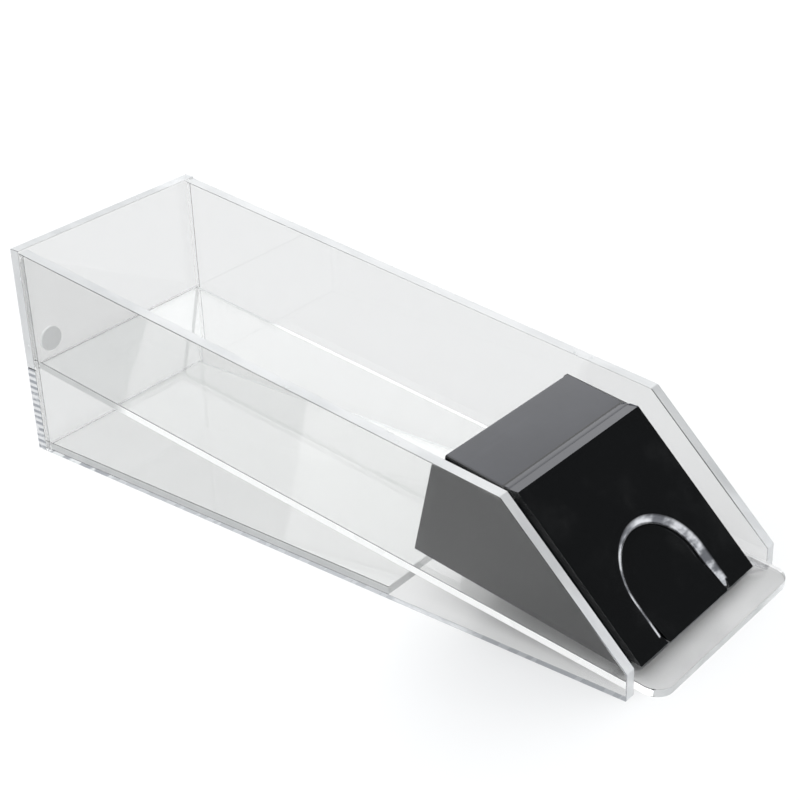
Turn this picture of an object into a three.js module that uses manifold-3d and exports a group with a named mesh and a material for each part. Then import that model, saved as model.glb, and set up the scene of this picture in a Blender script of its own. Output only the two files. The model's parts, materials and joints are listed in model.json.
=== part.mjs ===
// A dealing shoe for playing cards: a sloping tray of clear acrylic plate with a black acrylic
// hood over its low front end, and a weighted follower that pushes the cards to the hood.
// Millimetres, +Z up, the dealing end faces -Y, and the object stands on Z = 0.

import * as THREE from 'three';
import { mergeVertices } from 'three/addons/utils/BufferGeometryUtils.js';
import Module from 'manifold-3d';

// --- Driving dimensions. Y is counted from the front edge of the side walls. ---

const BOND = 0.1;                                 // glue line between two plates

const BODY_WIDTH = 120;                           // over the side walls
const WALL_THICKNESS = 6;
const WALL_FRONT_HEIGHT = 13.3;                   // short upright front edge of a side wall
const WALL_SHOULDER = [62.1, 74.2];               // where the front slope meets the top edge
const WALL_REAR_HEIGHT = 110;
const WALL_LENGTH = 349;

const FLOOR_TILT = THREE.MathUtils.degToRad(7.12);
const FLOOR_THICKNESS = 4;
const FLOOR_FRONT_HEIGHT = 6.9;                   // top of the floor at Y = 0
const LIP_REACH = 13.3;                           // floor in front of the side walls
const LIP_CORNER_RADIUS = 9;

const REAR_THICKNESS = 6;
const REAR_SPLIT_HEIGHT = 46.4;                   // support panel below, rear wall above
const REAR_TOP = 110.9;

const BASE_FRONT = 125.4;
const BASE_THICKNESS = 4;

const BUMPER_RADIUS = 6.35;
const BUMPER_THICKNESS = 1.6;
const BUMPER_PLACE = [-45, 60];                   // X, Z on the rear wall

const HOOD_WIDTH = 91;                            // face plate and top plate
const HOOD_PANEL_THICKNESS = 3;
const FACE_SLOPE = THREE.MathUtils.degToRad(44.86);
const FACE_THICKNESS = 3.2;
const CORNER_THICKNESS = 2.6;                     // strip that stiffens the face's upper edge
const FACE_FOOT = [2.0, 8.0];                     // lowest point of the outer face, one card above the floor
const FACE_TOP_HEIGHT = 68.9;
const HOOD_TOP_TILT = THREE.MathUtils.degToRad(9.9);
const HOOD_TOP_THICKNESS = 5;
const HOOD_TOP_REAR = 101.1;
const PANEL_INSET = 3;                            // panel edges lie this far under the plates
const PANEL_REAR_TOP = [103.3, 72];
const PANEL_REAR_FOOT = [114.4, 25.5];

const NOTCH_HALF_WIDTH = 24;
const NOTCH_CENTRE = 21;                          // up the slope from the foot of the face
const NOTCH_MOUTH_RADIUS = 1.2;

// The follower is laid out along the floor: U up the slope, W square to the floor.
const FOLLOWER_WIDTH = 88;
const FACE_GAP = 0.4;                             // between the parked follower and the face plate
const FOLLOWER_REAR = 93;
const FOLLOWER_HEIGHT = 40;
const FOLLOWER_CLEARANCE = 0.3;                   // under the block
const FOLLOWER_SKIN = 5;
const TOE_LENGTH = 14;                            // wedge on the follower's front, in the mouth of the notch
const TOE_SIDE_GAP = 0.5;
const ROLLER_RADIUS = 7;
const ROLLER_WIDTH = 72;
const ROLLER_LIFT = 0.1;
const ROLLER_PLACE = 76;
const AXLE_RADIUS = 2.5;
const AXLE_LENGTH = 86;
const BORE_RADIUS = 2.7;                          // the corners of the axle pass the flats of the bore
const WEIGHT_SIZE = [72, 17, 14];

const CURVE_STEPS = 24;

// --- Materials ---

const clearAcrylic = () => new THREE.MeshStandardMaterial({
  color: 0xe4efec, roughness: 0.05, metalness: 0, transparent: true, opacity: 0.35,
});
const blackAcrylic = () => new THREE.MeshStandardMaterial({ color: 0x0b0c0d, roughness: 0.08, metalness: 0 });
const steel = () => new THREE.MeshStandardMaterial({ color: 0xa8abad, roughness: 0.35, metalness: 1 });
const greyPolymer = () => new THREE.MeshStandardMaterial({ color: 0xb4b9b8, roughness: 0.4, metalness: 0 });

// --- Geometry helpers ---

const wasm = await Module();
wasm.setup();

function solidOf(geometry) {
  const bare = geometry.clone();
  bare.deleteAttribute('normal');
  bare.deleteAttribute('uv');
  const welded = mergeVertices(bare, 1e-4);
  return new wasm.Manifold(new wasm.Mesh({
    numProp: 3,
    vertProperties: new Float32Array(welded.attributes.position.array),
    triVerts: new Uint32Array(welded.index.array),
  }));
}

function geometryOf(solid) {
  const mesh = solid.getMesh();
  const geometry = new THREE.BufferGeometry();
  geometry.setAttribute('position', new THREE.BufferAttribute(new Float32Array(mesh.vertProperties), 3));
  geometry.setIndex(new THREE.BufferAttribute(new Uint32Array(mesh.triVerts), 1));
  geometry.computeVertexNormals();
  return geometry;
}

function meshOf(name, geometry, material) {
  const mesh = new THREE.Mesh(geometry, material);
  mesh.name = name;
  return mesh;
}

function polygon(points) {
  return new THREE.Shape(points.map(([a, b]) => new THREE.Vector2(a, b)));
}

// A side-view outline of [Y, Z] points or a shape, carried across X and centred on X = 0.
function across(outline, width) {
  const shape = Array.isArray(outline) ? polygon(outline) : outline;
  const geometry = new THREE.ExtrudeGeometry(shape, {
    depth: width, bevelEnabled: false, curveSegments: CURVE_STEPS,
  });
  geometry.translate(0, 0, -width / 2);
  const toSideView = new THREE.Matrix4().makeBasis(
    new THREE.Vector3(0, 1, 0),
    new THREE.Vector3(0, 0, 1),
    new THREE.Vector3(1, 0, 0),
  );
  return geometry.applyMatrix4(toSideView);
}

function box(width, depth, height) {
  return new THREE.BoxGeometry(width, depth, height);
}

// Where the line from P along direction D meets the line from Q along direction E.
function crossing(p, d, q, e) {
  const turn = d[0] * e[1] - d[1] * e[0];
  const along = ((q[0] - p[0]) * e[1] - (q[1] - p[1]) * e[0]) / turn;
  return [p[0] + along * d[0], p[1] + along * d[1]];
}

const heading = (angle) => [Math.cos(angle), Math.sin(angle)];
const inwards = (angle, distance) => [Math.sin(angle) * distance, -Math.cos(angle) * distance];
const shifted = (point, step) => [point[0] + step[0], point[1] + step[1]];
const LEVEL = [1, 0];

// --- Clear body ---

function sideWall(name, side) {
  const outline = [
    [0, 0],
    [WALL_LENGTH - BOND, 0],
    [WALL_LENGTH - BOND, WALL_REAR_HEIGHT],
    WALL_SHOULDER,
    [0, WALL_FRONT_HEIGHT],
  ];
  const wall = meshOf(name, across(outline, WALL_THICKNESS), clearAcrylic());
  wall.position.x = side * (BODY_WIDTH - WALL_THICKNESS) / 2;
  return wall;
}

// The floor is drawn flat, front lip first, and lies in the group that is tilted with it.
function trayFloor() {
  const halfWidth = BODY_WIDTH / 2 - WALL_THICKNESS - BOND;
  const rear = (WALL_LENGTH - BOND) / Math.cos(FLOOR_TILT) - FLOOR_THICKNESS * Math.tan(FLOOR_TILT);
  const turnX = halfWidth - LIP_CORNER_RADIUS;
  const turnY = LIP_CORNER_RADIUS - LIP_REACH;
  const plan = new THREE.Shape();
  plan.moveTo(-halfWidth, rear);
  plan.lineTo(-halfWidth, turnY);
  plan.absarc(-turnX, turnY, LIP_CORNER_RADIUS, Math.PI, 1.5 * Math.PI, false);
  plan.lineTo(turnX, -LIP_REACH);
  plan.absarc(turnX, turnY, LIP_CORNER_RADIUS, 1.5 * Math.PI, 2 * Math.PI, false);
  plan.lineTo(halfWidth, rear);
  const geometry = new THREE.ExtrudeGeometry(plan, {
    depth: FLOOR_THICKNESS, bevelEnabled: false, curveSegments: 8,
  });
  geometry.translate(0, 0, -FLOOR_THICKNESS);
  return meshOf('tray_floor', geometry, clearAcrylic());
}

function rearPlate(name, low, high) {
  const plate = meshOf(name, box(BODY_WIDTH, REAR_THICKNESS, high - low), clearAcrylic());
  plate.position.set(0, WALL_LENGTH + REAR_THICKNESS / 2, (low + high) / 2);
  return plate;
}

function basePlate() {
  const width = BODY_WIDTH - 2 * (WALL_THICKNESS + BOND);
  const length = WALL_LENGTH - BOND - BASE_FRONT;
  const plate = meshOf('base_plate', box(width, length, BASE_THICKNESS), clearAcrylic());
  plate.position.set(0, BASE_FRONT + length / 2, BASE_THICKNESS / 2);
  return plate;
}

// A disc stuck on the inside of the rear wall, where the follower stops.
function rearBumper() {
  const disc = new THREE.CylinderGeometry(BUMPER_RADIUS, BUMPER_RADIUS, BUMPER_THICKNESS, 2 * CURVE_STEPS);
  const bumper = meshOf('rear_bumper', disc, greyPolymer());
  bumper.position.set(BUMPER_PLACE[0], WALL_LENGTH - BOND - BUMPER_THICKNESS / 2, BUMPER_PLACE[1]);
  return bumper;
}

// --- Black hood ---

const faceDirection = heading(FACE_SLOPE);
const faceInside = shifted(FACE_FOOT, inwards(FACE_SLOPE, FACE_THICKNESS));
const floorDirection = heading(FLOOR_TILT);

// The U-shaped finger notch, drawn on the face with X across and Y up the slope.
function notchOutline() {
  const below = -4 * NOTCH_MOUTH_RADIUS;
  const mouth = NOTCH_HALF_WIDTH + NOTCH_MOUTH_RADIUS;
  const notch = new THREE.Shape();
  notch.moveTo(mouth, below);
  notch.lineTo(mouth, 0);
  notch.absarc(mouth, NOTCH_MOUTH_RADIUS, NOTCH_MOUTH_RADIUS, 1.5 * Math.PI, Math.PI, true);
  notch.lineTo(NOTCH_HALF_WIDTH, NOTCH_CENTRE);
  notch.absarc(0, NOTCH_CENTRE, NOTCH_HALF_WIDTH, 0, Math.PI, false);
  notch.lineTo(-NOTCH_HALF_WIDTH, NOTCH_MOUTH_RADIUS);
  notch.absarc(-mouth, NOTCH_MOUTH_RADIUS, NOTCH_MOUTH_RADIUS, 0, -0.5 * Math.PI, true);
  notch.lineTo(-mouth, below);
  return notch;
}

function facePlate() {
  const footInside = crossing(faceInside, faceDirection, FACE_FOOT, floorDirection);
  const topOutside = crossing(FACE_FOOT, faceDirection, [0, FACE_TOP_HEIGHT], LEVEL);
  const topInside = crossing(faceInside, faceDirection, [0, FACE_TOP_HEIGHT], LEVEL);
  const plate = across([FACE_FOOT, footInside, topInside, topOutside], HOOD_WIDTH);
  const cutter = new THREE.ExtrudeGeometry(notchOutline(), {
    depth: 4 * FACE_THICKNESS, bevelEnabled: false, curveSegments: CURVE_STEPS,
  });
  cutter.translate(0, 0, -2 * FACE_THICKNESS);
  cutter.rotateX(FACE_SLOPE);
  cutter.translate(0, FACE_FOOT[0], FACE_FOOT[1]);
  return meshOf('face_plate', geometryOf(solidOf(plate).subtract(solidOf(cutter))), blackAcrylic());
}

function hoodTopPlate() {
  const direction = heading(HOOD_TOP_TILT);
  const down = inwards(HOOD_TOP_TILT, HOOD_TOP_THICKNESS);
  const seam = shifted(faceInside, inwards(FACE_SLOPE, CORNER_THICKNESS + 2 * BOND));
  const frontTop = crossing(seam, faceDirection, [0, FACE_TOP_HEIGHT], LEVEL);
  const rearTop = crossing(frontTop, direction, [HOOD_TOP_REAR, 0], [0, 1]);
  const rearFoot = shifted(rearTop, down);
  const frontFoot = crossing(seam, faceDirection, rearFoot, direction);
  return meshOf('hood_top_plate', across([frontTop, frontFoot, rearFoot, rearTop], HOOD_WIDTH), blackAcrylic());
}

// A strip behind the upper edge of the face plate, cut level with it, that the top plate butts on.
function cornerStrip() {
  const front = shifted(faceInside, inwards(FACE_SLOPE, BOND));
  const back = shifted(front, inwards(FACE_SLOPE, CORNER_THICKNESS));
  const topFront = crossing(front, faceDirection, [0, FACE_TOP_HEIGHT], LEVEL);
  const topBack = crossing(back, faceDirection, [0, FACE_TOP_HEIGHT], LEVEL);
  const length = HOOD_TOP_THICKNESS / Math.sin(FACE_SLOPE - HOOD_TOP_TILT);
  const step = [-length * faceDirection[0], -length * faceDirection[1]];
  const outline = [topFront, shifted(topFront, step), shifted(topBack, step), topBack];
  return meshOf('hood_corner_strip', across(outline, HOOD_WIDTH), blackAcrylic());
}

function hoodPanel(name, side) {
  const edge = shifted(FACE_FOOT, inwards(FACE_SLOPE, PANEL_INSET));
  const standsOn = [0, FLOOR_FRONT_HEIGHT + 4 * BOND];
  const foot = crossing(edge, faceDirection, standsOn, floorDirection);
  const shoulder = crossing(edge, faceDirection, [0, FACE_TOP_HEIGHT - PANEL_INSET], LEVEL);
  const joint = crossing(faceInside, faceDirection, [0, FACE_TOP_HEIGHT - PANEL_INSET], LEVEL);
  const outline = [foot, PANEL_REAR_FOOT, PANEL_REAR_TOP, joint, shoulder];
  const panel = meshOf(name, across(outline, HOOD_PANEL_THICKNESS), blackAcrylic());
  panel.position.x = side * (HOOD_WIDTH / 2 + BOND + HOOD_PANEL_THICKNESS / 2);
  return panel;
}

// --- Follower, in the frame of the floor ---

const noseSlope = FACE_SLOPE - FLOOR_TILT;

// The lowest point of the follower's front, just behind the face plate, as [U, W].
function followerNose() {
  const behindFace = shifted(faceInside, inwards(FACE_SLOPE, FACE_GAP));
  const justOverFloor = [0, FLOOR_FRONT_HEIGHT + FOLLOWER_CLEARANCE / Math.cos(FLOOR_TILT)];
  const place = crossing(behindFace, faceDirection, justOverFloor, floorDirection);
  return [
    place[0] * floorDirection[0] + (place[1] - FLOOR_FRONT_HEIGHT) * floorDirection[1],
    FOLLOWER_CLEARANCE,
  ];
}

function followerBlock() {
  const nose = followerNose();
  const brow = crossing(nose, heading(noseSlope), [0, FOLLOWER_HEIGHT], LEVEL);
  const outline = [nose, [FOLLOWER_REAR, FOLLOWER_CLEARANCE], [FOLLOWER_REAR, FOLLOWER_HEIGHT], brow];
  const pocketFront = ROLLER_PLACE - 2 * ROLLER_RADIUS;
  const pocketRear = FOLLOWER_REAR - FOLLOWER_SKIN;
  const pocketTop = FOLLOWER_HEIGHT - FOLLOWER_SKIN;
  const pocket = [[pocketFront, -1], [pocketRear, -1], [pocketRear, pocketTop], [pocketFront, pocketTop]];
  const bore = new THREE.CylinderGeometry(BORE_RADIUS, BORE_RADIUS, 2 * FOLLOWER_WIDTH, CURVE_STEPS);
  bore.rotateZ(Math.PI / 2);
  bore.translate(0, ROLLER_PLACE, ROLLER_RADIUS + ROLLER_LIFT);
  const toeTip = FACE_FOOT[0] / Math.cos(FLOOR_TILT);
  const toeTop = shifted(nose, [TOE_LENGTH * Math.cos(noseSlope), TOE_LENGTH * Math.sin(noseSlope)]);
  const toe = [[toeTip, FOLLOWER_CLEARANCE], [toeTop[0], FOLLOWER_CLEARANCE], toeTop];
  const block = solidOf(across(outline, FOLLOWER_WIDTH))
    .add(solidOf(across(toe, 2 * (NOTCH_HALF_WIDTH - TOE_SIDE_GAP))))
    .subtract(solidOf(across(pocket, FOLLOWER_WIDTH - 2 * FOLLOWER_SKIN)))
    .subtract(solidOf(bore));
  return meshOf('follower_block', geometryOf(block), blackAcrylic());
}

function followerWeight() {
  const weight = meshOf('follower_weight', box(...WEIGHT_SIZE), steel());
  const top = FOLLOWER_HEIGHT - FOLLOWER_SKIN - 3 * BOND;
  weight.position.set(0, ROLLER_PLACE, top - WEIGHT_SIZE[2] / 2);
  return weight;
}

function followerAxle() {
  const pin = new THREE.CylinderGeometry(AXLE_RADIUS, AXLE_RADIUS, AXLE_LENGTH, CURVE_STEPS);
  pin.rotateZ(Math.PI / 2);
  const axle = meshOf('follower_axle', pin, steel());
  axle.position.set(0, ROLLER_PLACE, ROLLER_RADIUS + ROLLER_LIFT);
  return axle;
}

function followerRoller() {
  const section = new THREE.Shape();
  section.absarc(0, 0, ROLLER_RADIUS, 0, 2 * Math.PI, false);
  const bore = new THREE.Path();
  bore.absarc(0, 0, BORE_RADIUS, 0, 2 * Math.PI, true);
  section.holes.push(bore);
  const roller = meshOf('follower_roller', across(section, ROLLER_WIDTH), steel());
  roller.position.set(0, ROLLER_PLACE, ROLLER_RADIUS + ROLLER_LIFT);
  return roller;
}

// --- Assembly, moved so that the footprint is centred on the origin ---

const dealingShoe = new THREE.Group();
const lipFront = -LIP_REACH * Math.cos(FLOOR_TILT);
dealingShoe.position.y = -(lipFront + WALL_LENGTH + REAR_THICKNESS) / 2;

dealingShoe.add(sideWall('left_side_wall', -1));
dealingShoe.add(sideWall('right_side_wall', 1));
dealingShoe.add(rearPlate('rear_wall', REAR_SPLIT_HEIGHT + BOND, REAR_TOP));
dealingShoe.add(rearPlate('rear_support_panel', 0, REAR_SPLIT_HEIGHT));
dealingShoe.add(basePlate());
dealingShoe.add(rearBumper());

dealingShoe.add(facePlate());
dealingShoe.add(hoodTopPlate());
dealingShoe.add(cornerStrip());
dealingShoe.add(hoodPanel('hood_left_panel', -1));
dealingShoe.add(hoodPanel('hood_right_panel', 1));

const alongFloor = new THREE.Group();
alongFloor.position.z = FLOOR_FRONT_HEIGHT;
alongFloor.rotation.x = FLOOR_TILT;
alongFloor.add(trayFloor());
alongFloor.add(followerBlock());
alongFloor.add(followerWeight());
alongFloor.add(followerAxle());
alongFloor.add(followerRoller());
dealingShoe.add(alongFloor);

export default dealingShoe;
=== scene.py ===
import json
import math

import bpy
from bpy.props import FloatProperty, FloatVectorProperty, IntProperty, PointerProperty
from mathutils import Matrix, Quaternion, Vector

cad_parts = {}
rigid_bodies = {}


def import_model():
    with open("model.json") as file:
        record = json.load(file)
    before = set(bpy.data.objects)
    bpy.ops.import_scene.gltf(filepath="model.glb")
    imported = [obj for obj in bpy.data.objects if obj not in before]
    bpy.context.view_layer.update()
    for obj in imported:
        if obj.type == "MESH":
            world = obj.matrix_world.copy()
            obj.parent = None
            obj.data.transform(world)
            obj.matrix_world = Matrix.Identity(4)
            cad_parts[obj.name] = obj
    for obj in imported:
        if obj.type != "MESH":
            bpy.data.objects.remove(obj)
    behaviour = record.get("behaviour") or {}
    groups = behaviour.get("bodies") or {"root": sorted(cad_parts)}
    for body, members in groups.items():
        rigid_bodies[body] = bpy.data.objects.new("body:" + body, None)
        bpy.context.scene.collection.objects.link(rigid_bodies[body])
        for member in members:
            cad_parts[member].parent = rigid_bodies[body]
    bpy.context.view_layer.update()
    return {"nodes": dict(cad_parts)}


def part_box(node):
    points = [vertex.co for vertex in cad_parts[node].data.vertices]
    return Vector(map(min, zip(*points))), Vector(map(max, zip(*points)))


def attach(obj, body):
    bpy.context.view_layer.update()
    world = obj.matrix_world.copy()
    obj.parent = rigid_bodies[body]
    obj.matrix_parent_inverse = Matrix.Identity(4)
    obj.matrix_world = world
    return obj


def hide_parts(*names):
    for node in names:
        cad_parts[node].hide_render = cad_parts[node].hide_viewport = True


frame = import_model()

bl_info = {
    "name": "Dealing Shoe",
    "version": (1, 0, 0),
    "blender": (4, 5, 0),
    "location": "View3D > Sidebar > Dealing Shoe",
    "description": "Builds a clear and black acrylic dealing shoe for playing cards",
    "category": "Object",
}

MM = 0.001

FACE_SLOPE = math.radians(44.86)
FACE_NORMAL = Vector((0, -math.sin(FACE_SLOPE), math.cos(FACE_SLOPE)))

CLEAR_PLATES = (
    "left_side_wall", "right_side_wall", "tray_floor", "rear_wall", "rear_support_panel", "base_plate",
)

NEAR = 0.1 * MM                # two places closer than this are taken as one
STRAIGHT = 0.9                 # part of a normal along an axis, above which a face looks that way

# Along Y, where a finish changes, and half or all of the length over which it does.
LIP_START = -160 * MM          # the handled front of the tray, roughened and painted with shade, lies before this
LIP_FADE = 4 * MM
PAINTED_GLOW_TO = 120 * MM           # up to this the bonded edge of the tray has a painted glow: a lighter colour and a weak emission
PAINTED_GLOW_FADE = 6 * MM
SAWN_FROM = 128 * MM           # the walls' lower edges keep their saw marks behind this and carry a painted shadow in front of it
SAWN_FADE = 8 * MM

# Shares of a piece's half width that the notch, its rim and the follower's wedge lie within.
NOTCH_SHARE = 0.75
RIM_SHARE = 0.72
WEDGE_SHARE = 0.6
RIM_BELOW_TOP = 8 * MM         # the notch's rim ends this far under the face plate's top edge
WEDGE_REACH = 20 * MM          # the wedge ends this far behind the follower's front


# --- Settings ---

class ShoeSizes(bpy.types.PropertyGroup):
    edge_round: FloatProperty(
        name="Plate edge", description="Radius on the edges of the clear plates",
        default=0.45 * MM, min=0, unit="LENGTH")
    hood_round: FloatProperty(
        name="Hood edge", description="Radius on the edges of the black plates",
        default=1.1 * MM, min=0, unit="LENGTH")
    plate_round: FloatProperty(
        name="Face edge", description="Radius on the edges of the face plate",
        default=0.7 * MM, min=0, unit="LENGTH")
    notch_round: FloatProperty(
        name="Notch edge", description="Width of the rounding on the front edge of the finger notch",
        default=4.5 * MM, min=0, unit="LENGTH")
    notch_depth: FloatProperty(
        name="Notch edge depth", description="Depth of the rounding on the front edge of the finger notch",
        default=2.7 * MM, min=0.1 * MM, unit="LENGTH")
    follower_round: FloatProperty(
        name="Follower edge", description="Radius on the edges of the follower",
        default=0.5 * MM, min=0, unit="LENGTH")
    roller_sides: IntProperty(
        name="Roller sides", description="Number of sides of the roller and its axle",
        default=96, min=24)
    roller_groove: FloatProperty(
        name="Roller groove", description="Depth of the grooves turned into the roller",
        default=0.5 * MM, min=0, unit="LENGTH")


class ShoeColours(bpy.types.PropertyGroup):
    clear: FloatVectorProperty(
        name="Clear acrylic", description="Tint of the clear plates",
        default=(0.80, 0.80, 0.797), min=0, max=1, subtype="COLOR")
    shade: FloatVectorProperty(
        name="Shade of clear acrylic", description="Light that gets through one face of a clear plate",
        default=(0.995, 0.995, 0.994), min=0, max=1, subtype="COLOR")
    black: FloatVectorProperty(
        name="Black acrylic", description="Colour of the hood and the follower",
        default=(0.004, 0.0045, 0.005), min=0, max=1, subtype="COLOR")
    dust: FloatVectorProperty(
        name="Dust", description="Colour of dust and dried smears",
        default=(0.75, 0.76, 0.76), min=0, max=1, subtype="COLOR")
    # Painted shade: this grey on the lip stands for the hood's shadow and the black face's reflection.
    lip: FloatVectorProperty(
        name="Lip", description="Tint of the part of the tray that stands in front of the walls",
        default=(0.46, 0.46, 0.46), min=0, max=1, subtype="COLOR")
    # Used for saw marks, and also for the painted shadow along the front of the side walls' lower edges.
    sawn: FloatVectorProperty(
        name="Saw marks", description="Dark lines in a sawn acrylic edge",
        default=(0.24, 0.26, 0.30), min=0, max=1, subtype="COLOR")
    bumper: FloatVectorProperty(
        name="Bumper", description="Colour of the bumper disc",
        default=(0.76, 0.77, 0.77), min=0, max=1, subtype="COLOR")
    steel: FloatVectorProperty(
        name="Steel", description="Colour of the roller, axle and weight",
        default=(0.60, 0.60, 0.61), min=0, max=1, subtype="COLOR")
    table: FloatVectorProperty(
        name="Table", description="Colour of the floor under the object",
        default=(0.90, 0.90, 0.90), min=0, max=1, subtype="COLOR")


class ShoeStage(bpy.types.PropertyGroup):
    azimuth: FloatProperty(
        name="Azimuth", description="Camera angle round the object, 0 looking along +Y",
        default=math.radians(-49.91), subtype="ANGLE")
    elevation: FloatProperty(
        name="Elevation", description="Camera angle above the horizon",
        default=math.radians(28.12), subtype="ANGLE")
    roll: FloatProperty(
        name="Roll", description="Turn of the camera about its own line of sight",
        default=math.radians(-2.29), subtype="ANGLE")
    distance: FloatProperty(
        name="Distance", description="From the camera to the point that it looks at",
        default=0.8264, unit="LENGTH")
    target: FloatVectorProperty(
        name="Target", description="The point that the camera looks at",
        default=(-0.00084, -0.0091, 0.0617), subtype="TRANSLATION", unit="LENGTH")
    lens: FloatProperty(
        name="Lens", description="Focal length in millimetres on a 36 mm sensor",
        default=81.17, min=10)


def settings():
    scene = bpy.context.scene
    return scene.shoe_sizes, scene.shoe_colours


# --- Shader maths ---

class Value:
    """A shader socket that sums and products can be written with."""

    def __init__(self, recipe, socket):
        self.recipe = recipe
        self.socket = socket

    def _math(self, operation, first, second):
        return self.recipe.add("ShaderNodeMath", {"operation": operation}, {0: first, 1: second})

    def __add__(self, other):
        return self._math("ADD", self, other)

    def __radd__(self, other):
        return self._math("ADD", other, self)

    def __rsub__(self, other):
        return self._math("SUBTRACT", other, self)

    def __mul__(self, other):
        return self._math("MULTIPLY", self, other)

    def larger(self, other):
        return self._math("MAXIMUM", self, other)

    def between(self, low, high):
        """0 below low, 1 above high and a soft step from one to the other."""
        options = {"interpolation_type": "SMOOTHSTEP"}
        inputs = {"Value": self, "From Min": low, "From Max": high}
        return self.recipe.add("ShaderNodeMapRange", options, inputs)


class Recipe:
    """One material's node tree."""

    def __init__(self, name):
        self.material = bpy.data.materials.new(f"shoe_{name}")
        self.material.use_nodes = True
        self.tree = self.material.node_tree
        self.tree.nodes.clear()
        self.place = self.add("ShaderNodeTexCoord", output="Object")

    def add(self, kind, options=None, inputs=None, output=0):
        node = self.tree.nodes.new(kind)
        for key, option in (options or {}).items():
            setattr(node, key, option)
        for key, value in (inputs or {}).items():
            if isinstance(value, Value):
                self.tree.links.new(value.socket, node.inputs[key])
            else:
                node.inputs[key].default_value = value
        return Value(self, node.outputs[output])

    def stretched(self, scale):
        return self.add("ShaderNodeMapping", None, {"Vector": self.place, "Scale": scale})

    def along_y(self):
        return self.add("ShaderNodeSeparateXYZ", None, {"Vector": self.place}, "Y")

    def noise(self, scale, detail=3.0, roughness=0.55, place=None):
        inputs = {"Vector": place or self.place, "Scale": scale, "Detail": detail, "Roughness": roughness}
        return self.add("ShaderNodeTexNoise", None, inputs)

    def specks(self, scale, size):
        """1 in small round specks, at most one to a cell."""
        inputs = {"Vector": self.place, "Scale": scale}
        cells = self.add("ShaderNodeTexVoronoi", None, inputs, "Distance")
        return 1 - cells.between(size * 0.6, size)

    def blend(self, factor, first, second):
        node = self.tree.nodes.new("ShaderNodeMix")
        node.data_type = "RGBA"
        self.tree.links.new(factor.socket, node.inputs["Factor"])
        colours = [socket for socket in node.inputs if socket.type == "RGBA"]
        for socket, colour in zip(colours, (first, second)):
            if isinstance(colour, Value):
                self.tree.links.new(colour.socket, socket)
            else:
                socket.default_value = opaque(colour)
        output = next(socket for socket in node.outputs if socket.type == "RGBA")
        return Value(self, output)

    def bump(self, height, strength, distance):
        inputs = {"Height": height, "Strength": strength, "Distance": distance}
        return self.add("ShaderNodeBump", None, inputs)

    def finish(self, shader):
        output = self.tree.nodes.new("ShaderNodeOutputMaterial")
        self.tree.links.new(shader.socket, output.inputs["Surface"])
        return self.material


def opaque(colour):
    return (*tuple(colour)[:3], 1.0)


# --- Materials ---

ACRYLIC_IOR = 1.49


def see_through(recipe, glass, shade):
    """Glass that lets the light of lamps and of lit surfaces straight through."""
    path = recipe.add("ShaderNodeLightPath", output="Is Shadow Ray")
    lit = Value(recipe, path.socket.node.outputs["Is Diffuse Ray"])
    clear = recipe.add("ShaderNodeBsdfTransparent", None, {"Color": opaque(shade)})
    return recipe.add("ShaderNodeMixShader", None, {"Fac": path.larger(lit), 1: glass, 2: clear})


def clear_acrylic():
    """Polished clear plate with fingerprints, hairline scratches and a little dust."""
    colours = settings()[1]
    recipe = Recipe("clear_acrylic")
    smears = recipe.noise(24, 4).between(0.54, 0.74)
    hairlines = recipe.noise(90, 2, 0.4, recipe.stretched((1.0, 0.12, 2.4))).between(0.66, 0.72)
    dust = recipe.specks(420, 0.16) * recipe.noise(35, 1).between(0.60, 0.68)
    tint = recipe.blend(dust * 0.3, colours.clear, colours.dust)
    glass = recipe.add("ShaderNodeBsdfPrincipled", None, {
        "Base Color": tint,
        "Roughness": 0.004 + smears * 0.02 + hairlines * 0.03 + dust * 0.1,
        "IOR": ACRYLIC_IOR,
        "Transmission Weight": 1.0,
        "Normal": recipe.bump(recipe.noise(16, 1) + hairlines * 0.1, 0.06, 0.4 * MM),
    })
    return recipe.finish(see_through(recipe, glass, colours.shade))


def tray_acrylic():
    """The lower clear plates, painted a lighter tint than the walls, with a painted shade of grey on the
    tray's lip, where handling has also dulled the surface.
    """
    colours = settings()[1]
    recipe = Recipe("tray_acrylic")
    smears = recipe.noise(24, 4).between(0.54, 0.74)
    lip = 1 - recipe.along_y().between(LIP_START - LIP_FADE, LIP_START + LIP_FADE)
    # Painted shade: on the lip the tint turns grey for the hood's shadow and the black face's reflection.
    # The added roughness there is handling.
    haze_and_painted_light = lip * (0.75 + recipe.noise(30, 3).between(0.3, 0.7) * 0.25)
    glass = recipe.add("ShaderNodeBsdfPrincipled", None, {
        # Painted light: this tint is lighter than the walls' so that the shaded table seen through the
        # lower plates looks brighter.
        "Base Color": recipe.blend(haze_and_painted_light, (0.90, 0.905, 0.902), colours.lip),
        "Roughness": 0.004 + smears * 0.02 + haze_and_painted_light * 0.05,
        "IOR": ACRYLIC_IOR,
        "Transmission Weight": 1.0,
        "Normal": recipe.bump(recipe.noise(16, 1), 0.06, 0.4 * MM),
    })
    return recipe.finish(see_through(recipe, glass, colours.shade))


def polished_edge():
    """The flame polished edge of a clear plate, slightly wavy along its length."""
    colours = settings()[1]
    recipe = Recipe("polished_edge")
    waves = recipe.noise(55, 3, 0.6, recipe.stretched((1.0, 0.5, 0.5)))
    chips = recipe.specks(150, 0.20) * recipe.noise(28, 1).between(0.55, 0.62)
    dull = waves.between(0.35, 0.75) * 0.6 + chips * 0.4
    glass = recipe.add("ShaderNodeBsdfPrincipled", None, {
        "Base Color": recipe.blend(dull, (0.93, 0.94, 0.945), (0.68, 0.70, 0.71)),
        "Roughness": 0.10 + waves * 0.15 + chips * 0.3,
        "IOR": ACRYLIC_IOR,
        "Transmission Weight": 0.3,
        "Normal": recipe.bump(waves, 0.35, 0.8 * MM),
    })
    return recipe.finish(see_through(recipe, glass, colours.shade))


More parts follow.
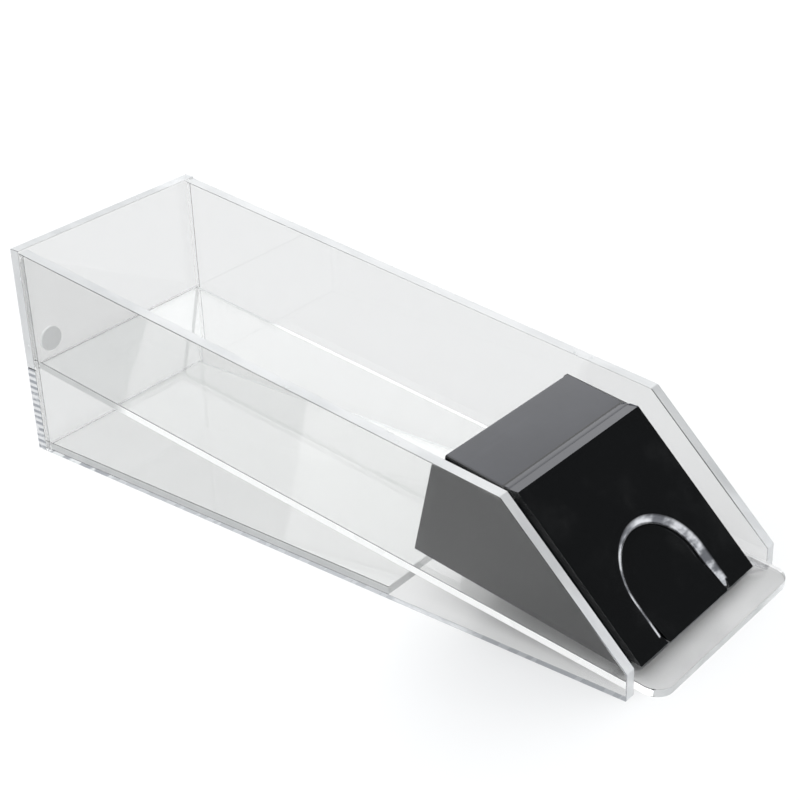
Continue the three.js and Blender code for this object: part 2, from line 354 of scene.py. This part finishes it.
def under_edge():
    """The lower edge of a side wall, painted blue-grey as shadow towards the front, with saw marks left
    near the rear.
    """
    colours = settings()[1]
    recipe = Recipe("under_edge")
    rear = recipe.along_y().between(SAWN_FROM, SAWN_FROM + SAWN_FADE)
    teeth = recipe.noise(150, 2, 0.5, recipe.stretched((0.1, 1.0, 0.1))).between(0.47, 0.54)
    # Painted shadow: in front of the saw marks the edge is tinted blue-grey to stand for the shade under
    # the wall.
    painted_shadow_and_saw_marks = (1 - rear) * 0.6 + rear * teeth
    glass = recipe.add("ShaderNodeBsdfPrincipled", None, {
        "Base Color": recipe.blend(painted_shadow_and_saw_marks, (0.92, 0.94, 0.96), colours.sawn),
        "Roughness": 0.15 + teeth * 0.2,
        "IOR": ACRYLIC_IOR,
        "Transmission Weight": 0.2,
        "Normal": recipe.bump(teeth * rear, 0.4, 0.4 * MM),
    })
    return recipe.finish(see_through(recipe, glass, colours.shade))


def sawn_edge():
    """An edge left as the saw cut it, with level ribs and clear gaps between them."""
    colours = settings()[1]
    recipe = Recipe("sawn_edge")
    ribs = recipe.add("ShaderNodeTexWave", {"wave_type": "BANDS", "bands_direction": "Z"}, {
        "Vector": recipe.stretched((0.0, 0.0, 1.0)), "Scale": 92.0, "Distortion": 1.2, "Detail": 2.0,
    }, "Fac")
    marks = ribs.between(0.40, 0.70) * recipe.noise(160, 2).between(0.34, 0.50)
    glass = recipe.add("ShaderNodeBsdfPrincipled", None, {
        "Base Color": recipe.blend(marks * 0.8, (0.88, 0.89, 0.90), colours.sawn),
        "Roughness": 0.12 + ribs * 0.25,
        "IOR": ACRYLIC_IOR,
        "Transmission Weight": 0.2,
        "Normal": recipe.bump(ribs, 0.6, 0.5 * MM),
    })
    return recipe.finish(see_through(recipe, glass, colours.shade))


def bonded_edge():
    """An edge where solvent has joined it to the next plate: milky, with tiny bubbles, and a painted glow
    towards the front: a lighter colour and a weak emission.
    """
    colours = settings()[1]
    recipe = Recipe("bonded_edge")
    bubbles = recipe.specks(260, 0.22) * recipe.noise(40, 1).between(0.5, 0.6)
    milk = recipe.noise(30, 3, 0.6, recipe.stretched((1.0, 0.25, 0.25))).between(0.35, 0.65)
    # Painted glow: towards the front the edge is painted lighter and given a weak emission, standing in for
    # light led along the plate. The bubbles are the edge's own.
    bright = 1 - recipe.along_y().between(PAINTED_GLOW_TO - PAINTED_GLOW_FADE, PAINTED_GLOW_TO + PAINTED_GLOW_FADE)
    painted_glow = recipe.blend(bright, (0.0, 0.0, 0.0), (0.35, 0.35, 0.35))
    glass = recipe.add("ShaderNodeBsdfPrincipled", None, {
        "Base Color": recipe.blend(bright * 0.8 + bubbles * 0.2, (0.72, 0.73, 0.73), (1.0, 1.0, 1.0)),
        "Roughness": 0.25 + milk * 0.2,
        "IOR": ACRYLIC_IOR,
        "Transmission Weight": 0.1,
        "Emission Color": painted_glow,
        "Emission Strength": 1.0,
        "Normal": recipe.bump(bubbles + milk * 0.3, 0.3, 0.3 * MM),
    })
    return recipe.finish(see_through(recipe, glass, colours.shade))


def black_acrylic():
    """Polished black plate with faint fingerprints, wiping marks and dust."""
    colours = settings()[1]
    recipe = Recipe("black_acrylic")
    smears = recipe.noise(38, 4, 0.6).between(0.50, 0.75)
    wiping = recipe.noise(120, 2, 0.5, recipe.stretched((0.15, 1.0, 1.0))).between(0.6, 0.7)
    dust = recipe.specks(900, 0.12) * recipe.noise(60, 1).between(0.66, 0.72)
    plastic = recipe.add("ShaderNodeBsdfPrincipled", None, {
        "Base Color": recipe.blend(dust * 0.06 + smears * 0.008, colours.black, colours.dust),
        "Roughness": 0.03 + smears * 0.05 + wiping * 0.03 + dust * 0.1,
        "IOR": ACRYLIC_IOR,
        "Normal": recipe.bump(recipe.noise(22, 1), 0.05, 0.5 * MM),
    })
    return recipe.finish(plastic)


def black_edge():
    """The rounded, buffed edge of a black plate, greyer than its faces."""
    colours = settings()[1]
    recipe = Recipe("black_edge")
    buffing = recipe.noise(160, 3, 0.6, recipe.stretched((1.0, 0.3, 0.3)))
    nicks = recipe.specks(300, 0.18) * recipe.noise(50, 1).between(0.55, 0.62)
    plastic = recipe.add("ShaderNodeBsdfPrincipled", None, {
        "Base Color": recipe.blend(buffing * 0.05 + nicks * 0.1, colours.black, colours.dust),
        "Roughness": 0.14 + buffing * 0.18,
        "IOR": ACRYLIC_IOR,
        "Normal": recipe.bump(buffing, 0.12, 0.3 * MM),
    })
    return recipe.finish(plastic)


def notch_rim():
    """The cut rim of the finger notch, bright and streaked where it mirrors the lights."""
    recipe = Recipe("notch_rim")
    streaks = recipe.noise(140, 3, 0.6, recipe.stretched((0.4, 1.0, 1.0)))
    dark = streaks.between(0.38, 0.62) * 0.9
    rim = recipe.add("ShaderNodeBsdfPrincipled", None, {
        "Base Color": recipe.blend(dark, (0.78, 0.79, 0.82), (0.10, 0.105, 0.12)),
        "Metallic": 0.85,
        "Roughness": 0.06 + streaks * 0.10,
        "IOR": ACRYLIC_IOR,
        "Normal": recipe.bump(streaks, 0.10, 0.3 * MM),
    })
    return recipe.finish(rim)


def hazy_black_painted_sheen():
    """Black plate whose polish has gone hazy with handling, with a lighter slate-grey colour painted on as
    a sheen from the light.
    """
    recipe = Recipe("hazy_black_painted_sheen")
    haze_and_painted_light = recipe.noise(26, 4, 0.6).between(0.25, 0.85)
    wiping = recipe.noise(120, 2, 0.5, recipe.stretched((0.15, 1.0, 1.0))).between(0.6, 0.7)
    plastic = recipe.add("ShaderNodeBsdfPrincipled", None, {
        # Painted sheen: these greys, far lighter than the other black faces, are given only to faces that
        # look up. The roughness is the handling haze.
        "Base Color": recipe.blend(haze_and_painted_light * 0.5 + wiping * 0.1, (0.020, 0.022, 0.030), (0.044, 0.047, 0.060)),
        "Roughness": 0.05 + haze_and_painted_light * 0.06 + wiping * 0.03,
        "IOR": ACRYLIC_IOR,
        "Normal": recipe.bump(recipe.noise(22, 1), 0.05, 0.5 * MM),
    })
    return recipe.finish(plastic)


def bumper_rubber():
    """Soft grey polymer with a fine orange-peel skin."""
    colours = settings()[1]
    recipe = Recipe("bumper_rubber")
    skin = recipe.noise(900, 2)
    cloud = recipe.noise(180, 3).between(0.35, 0.7)
    rubber = recipe.add("ShaderNodeBsdfPrincipled", None, {
        "Base Color": recipe.blend(cloud * 0.35, colours.bumper, colours.dust),
        "Roughness": 0.35 + skin * 0.2,
        "Normal": recipe.bump(skin, 0.25, 0.2 * MM),
    })
    return recipe.finish(rubber)


def turned_steel():
    """Steel turned on a lathe about the X axis, with fine rings and a few dull stains."""
    colours = settings()[1]
    recipe = Recipe("turned_steel")
    rings = recipe.noise(6, 4, 0.7, recipe.stretched((260.0, 1.0, 1.0)))
    stains = recipe.noise(70, 3).between(0.55, 0.7)
    metal = recipe.add("ShaderNodeBsdfPrincipled", None, {
        "Base Color": recipe.blend(stains * 0.5, colours.steel, (0.30, 0.28, 0.26)),
        "Metallic": 1.0,
        "Roughness": 0.24 + rings * 0.16 + stains * 0.15,
        "Normal": recipe.bump(rings, 0.12, 0.1 * MM),
    })
    return recipe.finish(metal)


def table_top():
    """A plain pale matt floor."""
    colours = settings()[1]
    recipe = Recipe("table_top")
    mottle = recipe.noise(5, 3)
    paper = recipe.add("ShaderNodeBsdfPrincipled", None, {
        "Base Color": recipe.blend(mottle * 0.04, colours.table, (0.86, 0.86, 0.86)),
        "Roughness": 0.7 + mottle * 0.1,
        "Specular IOR Level": 0.2,
    })
    return recipe.finish(paper)


def material(recipe):
    """The material that a function above describes, made once."""
    return bpy.data.materials.get(f"shoe_{recipe.__name__}") or recipe()


# --- Modelling helpers ---

def deselect():
    if bpy.context.object and bpy.context.object.mode != "OBJECT":
        bpy.ops.object.mode_set(mode="OBJECT")
    bpy.ops.object.select_all(action="DESELECT")


def take(piece):
    deselect()
    piece.select_set(True)
    bpy.context.view_layer.objects.active = piece


def edit(piece, mode="FACE"):
    """Opens a piece in edit mode with nothing selected."""
    take(piece)
    bpy.ops.object.mode_set(mode="EDIT")
    bpy.ops.mesh.select_mode(type=mode)
    bpy.ops.mesh.select_all(action="DESELECT")


def pick_faces(piece, chosen):
    """Selects the faces for which chosen(normal, centre) is true."""
    edit(piece)
    bpy.ops.object.mode_set(mode="OBJECT")
    for face in piece.data.polygons:
        face.select = bool(chosen(face.normal, face.center))
    bpy.ops.object.mode_set(mode="EDIT")


def pick_edges(piece, chosen):
    """Selects the edges for which chosen(end, other end) is true."""
    edit(piece, "EDGE")
    bpy.ops.object.mode_set(mode="OBJECT")
    corners = piece.data.vertices
    for edge in piece.data.edges:
        first, second = (corners[index].co for index in edge.vertices)
        edge.select = bool(chosen(first, second))
    bpy.ops.object.mode_set(mode="EDIT")


def copy_of(node, name):
    """A new piece that starts as the frame's shape of that node, with its flat faces made whole."""
    piece = bpy.data.objects.new(name, frame["nodes"][node].data.copy())
    piece.data.materials.clear()
    bpy.context.scene.collection.objects.link(piece)
    take(piece)
    bpy.ops.object.mode_set(mode="EDIT")
    bpy.ops.mesh.select_all(action="SELECT")
    bpy.ops.mesh.remove_doubles(threshold=0.01 * MM)
    bpy.ops.mesh.dissolve_limited(angle_limit=math.radians(1))
    bpy.ops.object.mode_set(mode="OBJECT")
    bpy.ops.mesh.customdata_custom_splitnormals_clear()
    return piece


def soften(piece, width, segments=3):
    """Rounds the sharp edges and keeps the flat faces flat."""
    take(piece)
    bevel = piece.modifiers.new("edges", "BEVEL")
    bevel.width = width
    bevel.segments = segments
    bevel.limit_method = "ANGLE"
    bevel.angle_limit = math.radians(35)
    bevel.use_clamp_overlap = True
    bpy.ops.object.modifier_apply(modifier=bevel.name)
    smooth(piece)


def smooth(piece, angle=40):
    take(piece)
    bpy.ops.object.shade_smooth_by_angle(angle=math.radians(angle))
    weighted = piece.modifiers.new("normals", "WEIGHTED_NORMAL")
    weighted.keep_sharp = True
    weighted.weight = 100
    bpy.ops.object.modifier_apply(modifier=weighted.name)


def paint(piece, finish, chosen=None):
    """Gives the whole piece, or the faces that chosen(normal, centre) names, a finish."""
    piece.data.materials.append(material(finish))
    if chosen is None:
        return
    pick_faces(piece, chosen)
    piece.active_material_index = len(piece.data.materials) - 1
    bpy.ops.object.material_slot_assign()
    bpy.ops.object.mode_set(mode="OBJECT")


def fit_in(piece, body, node):
    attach(piece, body)
    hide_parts(node)


def bar(name, low, high, sides):
    """A turned bar along X between two corners."""
    deselect()
    low, high = Vector(low), Vector(high)
    bpy.ops.mesh.primitive_cylinder_add(
        vertices=sides, radius=(high.z - low.z) / 2, depth=high.x - low.x,
        location=(low + high) / 2, rotation=(0, math.radians(90), 0))
    piece = bpy.context.object
    piece.name = name
    bpy.ops.object.transform_apply(location=True, rotation=True, scale=True)
    return piece


# --- Pieces ---

def is_end(normal, centre):
    return abs(normal.x) > STRAIGHT


def is_under(normal, centre):
    return normal.z < -STRAIGHT


def is_top(normal, centre):
    return normal.z > STRAIGHT


def is_end_or_top(normal, centre):
    return is_end(normal, centre) or is_top(normal, centre)


def is_front(normal, centre):
    return normal.y < -0.5


def is_end_or_front(normal, centre):
    return is_end(normal, centre) or is_front(normal, centre)


def is_wall_edge(normal, centre):
    """The top, the slope and the short upright front of a side wall."""
    return abs(normal.x) < 0.3 and (normal.z > 0.5 or normal.y < -STRAIGHT)


class SHOE_OT_clear_plates(bpy.types.Operator):
    """Make the clear plates of the tray, with polished, sawn and bonded edges"""
    bl_idname = "shoe.clear_plates"
    bl_label = "Clear Plates"

    def execute(self, context):
        sizes = settings()[0]
        for node in CLEAR_PLATES:
            piece = copy_of(node, f"{node}_acrylic")
            soften(piece, sizes.edge_round)
            paint(piece, clear_acrylic if node.endswith("wall") else tray_acrylic)
            fit_in(piece, "shoe", node)
        plates = bpy.data.objects
        for side in ("left", "right"):
            wall = plates[f"{side}_side_wall_acrylic"]
            paint(wall, polished_edge, is_wall_edge)
            paint(wall, under_edge, is_under)
        paint(plates["rear_wall_acrylic"], polished_edge, is_end_or_top)
        paint(plates["rear_support_panel_acrylic"], sawn_edge, is_end)
        paint(plates["tray_floor_acrylic"], bonded_edge, is_end)
        paint(plates["tray_floor_acrylic"], polished_edge, is_front)
        paint(plates["base_plate_acrylic"], polished_edge, is_end_or_front)
        return {"FINISHED"}


class SHOE_OT_hood(bpy.types.Operator):
    """Make the black hood: the face plate with its finger notch, the top plate and the two panels"""
    bl_idname = "shoe.hood"
    bl_label = "Hood"

    def execute(self, context):
        self.face_plate()
        for node in ("hood_top_plate", "hood_corner_strip"):
            self.plain_plate(node)
            # The top faces get the lighter black: a painted sheen.
            paint(bpy.data.objects[f"{node}_black"], hazy_black_painted_sheen, is_top)
        for side in ("left", "right"):
            self.plain_plate(f"hood_{side}_panel")
        return {"FINISHED"}

    def face_plate(self):
        sizes = settings()[0]
        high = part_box("face_plate")[1]
        piece = copy_of("face_plate", "face_plate_black")
        # The rounding is wider than it is deep, so the plate is made thicker while it is cut.
        depth = sizes.notch_round / sizes.notch_depth
        piece.data.transform(Matrix.Scale(depth, 4, FACE_NORMAL))
        outer = max(FACE_NORMAL.dot(corner.co) for corner in piece.data.vertices)
        run = Vector((0, math.cos(FACE_SLOPE), math.sin(FACE_SLOPE)))
        on_outer_face = [corner.co for corner in piece.data.vertices
                         if FACE_NORMAL.dot(corner.co) > outer - NEAR]
        bottom = min(run.dot(point) for point in on_outer_face)

        def rims_notch(first, second):
            ends = (first, second)
            on_face = all(abs(FACE_NORMAL.dot(end) - outer) < NEAR for end in ends)
            inside = all(abs(end.x) < NOTCH_SHARE * high[0] for end in ends)
            along_foot = all(abs(run.dot(end) - bottom) < NEAR for end in ends)
            return on_face and inside and not along_foot

        pick_edges(piece, rims_notch)
        bpy.ops.mesh.bevel(offset=sizes.notch_round, segments=7, profile=0.45, clamp_overlap=False)
        bpy.ops.object.mode_set(mode="OBJECT")
        piece.data.transform(Matrix.Scale(1 / depth, 4, FACE_NORMAL))
        soften(piece, sizes.plate_round, 4)
        paint(piece, black_acrylic)
        paint(piece, black_edge, lambda normal, centre: abs(normal.dot(FACE_NORMAL)) < 0.97)
        # The top face gets the lighter black too: a painted sheen.
        paint(piece, hazy_black_painted_sheen, lambda normal, centre: normal.z > 0.95)

        def on_rim(normal, centre):
            leaning = 0.02 < normal.dot(FACE_NORMAL) < 0.985
            inside = abs(centre.x) < RIM_SHARE * high[0] and centre.z < high[2] - RIM_BELOW_TOP
            return leaning and inside and normal.z < 0.95

        paint(piece, notch_rim, on_rim)
        fit_in(piece, "shoe", "face_plate")

    def plain_plate(self, node):
        sizes = settings()[0]
        piece = copy_of(node, f"{node}_black")
        soften(piece, sizes.hood_round, 4)
        paint(piece, black_acrylic)
        fit_in(piece, "shoe", node)


class SHOE_OT_bumper(bpy.types.Operator):
    """Make the bumper disc on the rear wall, with a domed face"""
    bl_idname = "shoe.bumper"
    bl_label = "Bumper"

    def execute(self, context):
        low, high = (Vector(corner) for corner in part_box("rear_bumper"))
        radius = (high.x - low.x) / 2
        deselect()
        bpy.ops.mesh.primitive_cylinder_add(
            vertices=96, radius=radius, depth=high.y - low.y,
            location=(low + high) / 2, rotation=(math.radians(90), 0, 0))
        piece = bpy.context.object
        piece.name = "rear_bumper_disc"
        bpy.ops.object.transform_apply(location=True, rotation=True, scale=True)
        middle = (low + high) / 2

        def is_dome(normal, centre):
            return normal.y < -STRAIGHT and (centre.xz - middle.xz).length < NEAR

        for inset, rise in ((0.12, 0.0), (0.25, 0.10 * MM), (0.3, 0.06 * MM)):
            pick_faces(piece, is_dome)
            bpy.ops.mesh.inset(thickness=radius * inset, depth=rise)
            bpy.ops.object.mode_set(mode="OBJECT")
        soften(piece, 0.3 * MM)
        paint(piece, bumper_rubber)
        fit_in(piece, "shoe", "rear_bumper")
        return {"FINISHED"}


class SHOE_OT_follower(bpy.types.Operator):
    """Make the follower block with its weight, roller and axle"""
    bl_idname = "shoe.follower"
    bl_label = "Follower"

    def execute(self, context):
        sizes = settings()[0]
        block = copy_of("follower_block", "follower_block_black")
        low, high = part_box("follower_block")
        wedge_side = WEDGE_SHARE * high[0]
        wedge = [corner.co for corner in block.data.vertices
                 if abs(corner.co.x) < wedge_side and corner.co.y < low[1] + WEDGE_REACH]
        crest = max(point.z for point in wedge)

        def on_crest(first, second):
            return all(abs(end.x) < wedge_side and abs(end.z - crest) < NEAR for end in (first, second))

        # The crease is too shallow for the smoothing angle, so it is marked by hand.
        pick_edges(block, on_crest)
        bpy.ops.mesh.mark_sharp()
        bpy.ops.object.mode_set(mode="OBJECT")
        soften(block, sizes.follower_round, 4)
        paint(block, black_acrylic)
        fit_in(block, "follower", "follower_block")

        weight = copy_of("follower_weight", "follower_weight_bar")
        soften(weight, sizes.follower_round, 3)
        paint(weight, turned_steel)
        fit_in(weight, "follower", "follower_weight")

        axle = bar("follower_axle_pin", *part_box("follower_axle"), sizes.roller_sides)
        soften(axle, 0.4 * MM)
        paint(axle, turned_steel)
        fit_in(axle, "follower", "follower_axle")

        self.roller(sizes)
        return {"FINISHED"}

    def roller(self, sizes):
        piece = copy_of("follower_roller", "follower_roller_steel")
        low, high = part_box("follower_roller")
        middle = (Vector(low) + Vector(high)) / 2
        radius = (high[2] - low[2]) / 2
        third = (high[0] - low[0]) / 3
        for place in (-third / 2, third / 2):
            for offset in (-1.2 * MM, 1.2 * MM):
                edit(piece)
                bpy.ops.mesh.select_all(action="SELECT")
                bpy.ops.mesh.bisect(plane_co=(place + offset, middle.y, middle.z), plane_no=(1, 0, 0))
                bpy.ops.object.mode_set(mode="OBJECT")

            def in_groove(normal, centre):
                outside = (centre.yz - middle.yz).length > 0.8 * radius
                return outside and abs(normal.x) < 0.3 and abs(centre.x - place) < 1.1 * MM

            pick_faces(piece, in_groove)
            bpy.ops.mesh.inset(thickness=0.3 * MM, depth=-sizes.roller_groove)
            bpy.ops.object.mode_set(mode="OBJECT")
        smooth(piece, 30)
        paint(piece, turned_steel)
        fit_in(piece, "roller", "follower_roller")


# --- Stage ---

SOFTBOXES = (
    # name, direction from the object, distance, side, power in watts
    ("overhead_softbox", (-0.25, 0.10, 1.0), 2.3, 1.8, 22.0),
    ("rear_softbox", (0.7145, 0.31, 0.627), 2.2, 1.5, 9.5),
)

# A dark flag in the world's light, mirrored by the hood's face, keeps that face black.
FLAG_DIRECTION = Vector((0.675, -0.467, 0.57)).normalized()
FLAG_EDGE = (math.cos(math.radians(38)), math.cos(math.radians(18)))
ROOM_LIGHT = (0.86, 0.10)       # strength away from the flag, and in it


class SHOE_OT_stage(bpy.types.Operator):
    """Make the floor, the soft lights and the camera"""
    bl_idname = "shoe.stage"
    bl_label = "Stage"

    def execute(self, context):
        self.table()
        for softbox in SOFTBOXES:
            self.softbox(*softbox)
        self.surroundings(context.scene)
        self.camera(context.scene)
        context.scene.view_settings.view_transform = "Standard"
        return {"FINISHED"}

    def table(self):
        deselect()
        bpy.ops.mesh.primitive_plane_add(size=14, location=(0, 0, -0.3 * MM))
        table = bpy.context.object
        table.name = "table"
        table.data.materials.append(material(table_top))

    def softbox(self, name, direction, distance, side, power):
        deselect()
        direction = Vector(direction).normalized()
        bpy.ops.object.light_add(type="AREA", location=direction * distance)
        light = bpy.context.object
        light.name = name
        light.data.size = side
        light.data.energy = power
        light.rotation_mode = "QUATERNION"
        light.rotation_quaternion = direction.to_track_quat("Z", "Y")

    def surroundings(self, scene):
        scene.world = bpy.data.worlds.new("studio")
        scene.world.use_nodes = True
        tree = scene.world.node_tree
        sight = tree.nodes.new("ShaderNodeTexCoord")
        towards_flag = tree.nodes.new("ShaderNodeVectorMath")
        towards_flag.operation = "DOT_PRODUCT"
        towards_flag.inputs[1].default_value = FLAG_DIRECTION
        strength = tree.nodes.new("ShaderNodeMapRange")
        strength.interpolation_type = "SMOOTHSTEP"
        for socket, value in zip(("From Min", "From Max", "To Min", "To Max"), FLAG_EDGE + ROOM_LIGHT):
            strength.inputs[socket].default_value = value
        background = tree.nodes["Background"]
        background.inputs["Color"].default_value = (0.97, 0.985, 1.0, 1.0)
        tree.links.new(sight.outputs["Generated"], towards_flag.inputs[0])
        tree.links.new(towards_flag.outputs["Value"], strength.inputs["Value"])
        tree.links.new(strength.outputs["Result"], background.inputs["Strength"])

    def camera(self, scene):
        stage = scene.shoe_stage
        away = Vector((
            math.sin(stage.azimuth) * math.cos(stage.elevation),
            -math.cos(stage.azimuth) * math.cos(stage.elevation),
            math.sin(stage.elevation),
        ))
        deselect()
        bpy.ops.object.camera_add(location=Vector(stage.target) + away * stage.distance)
        camera = bpy.context.object
        camera.name = "camera"
        camera.data.lens = stage.lens
        camera.data.sensor_width = 36
        camera.data.clip_start = 0.01
        camera.rotation_mode = "QUATERNION"
        roll = Quaternion((0, 0, 1), stage.roll)
        camera.rotation_quaternion = away.to_track_quat("Z", "Y") @ roll
        scene.camera = camera


class SHOE_PT_panel(bpy.types.Panel):
    """The dealing shoe's pieces and sizes"""
    bl_idname = "SHOE_PT_panel"
    bl_label = "Dealing Shoe"
    bl_space_type = "VIEW_3D"
    bl_region_type = "UI"
    bl_category = "Dealing Shoe"

    def draw(self, context):
        layout = self.layout
        for group in (context.scene.shoe_sizes, context.scene.shoe_colours, context.scene.shoe_stage):
            column = layout.column(align=True)
            for key in group.__annotations__:
                column.prop(group, key)
        for operator in OPERATORS:
            layout.operator(operator.bl_idname)


GROUPS = {"shoe_sizes": ShoeSizes, "shoe_colours": ShoeColours, "shoe_stage": ShoeStage}
OPERATORS = (SHOE_OT_clear_plates, SHOE_OT_hood, SHOE_OT_bumper, SHOE_OT_follower, SHOE_OT_stage)


def register():
    for kind in (*GROUPS.values(), *OPERATORS, SHOE_PT_panel):
        bpy.utils.register_class(kind)
    for name, group in GROUPS.items():
        setattr(bpy.types.Scene, name, PointerProperty(type=group))


def unregister():
    for name in GROUPS:
        delattr(bpy.types.Scene, name)
    for kind in (SHOE_PT_panel, *reversed(OPERATORS), *reversed(GROUPS.values())):
        bpy.utils.unregister_class(kind)


def main():
    register()
    bpy.ops.shoe.clear_plates()
    bpy.ops.shoe.hood()
    bpy.ops.shoe.bumper()
    bpy.ops.shoe.follower()
    bpy.ops.shoe.stage()


if __name__ == "__main__":
    main()
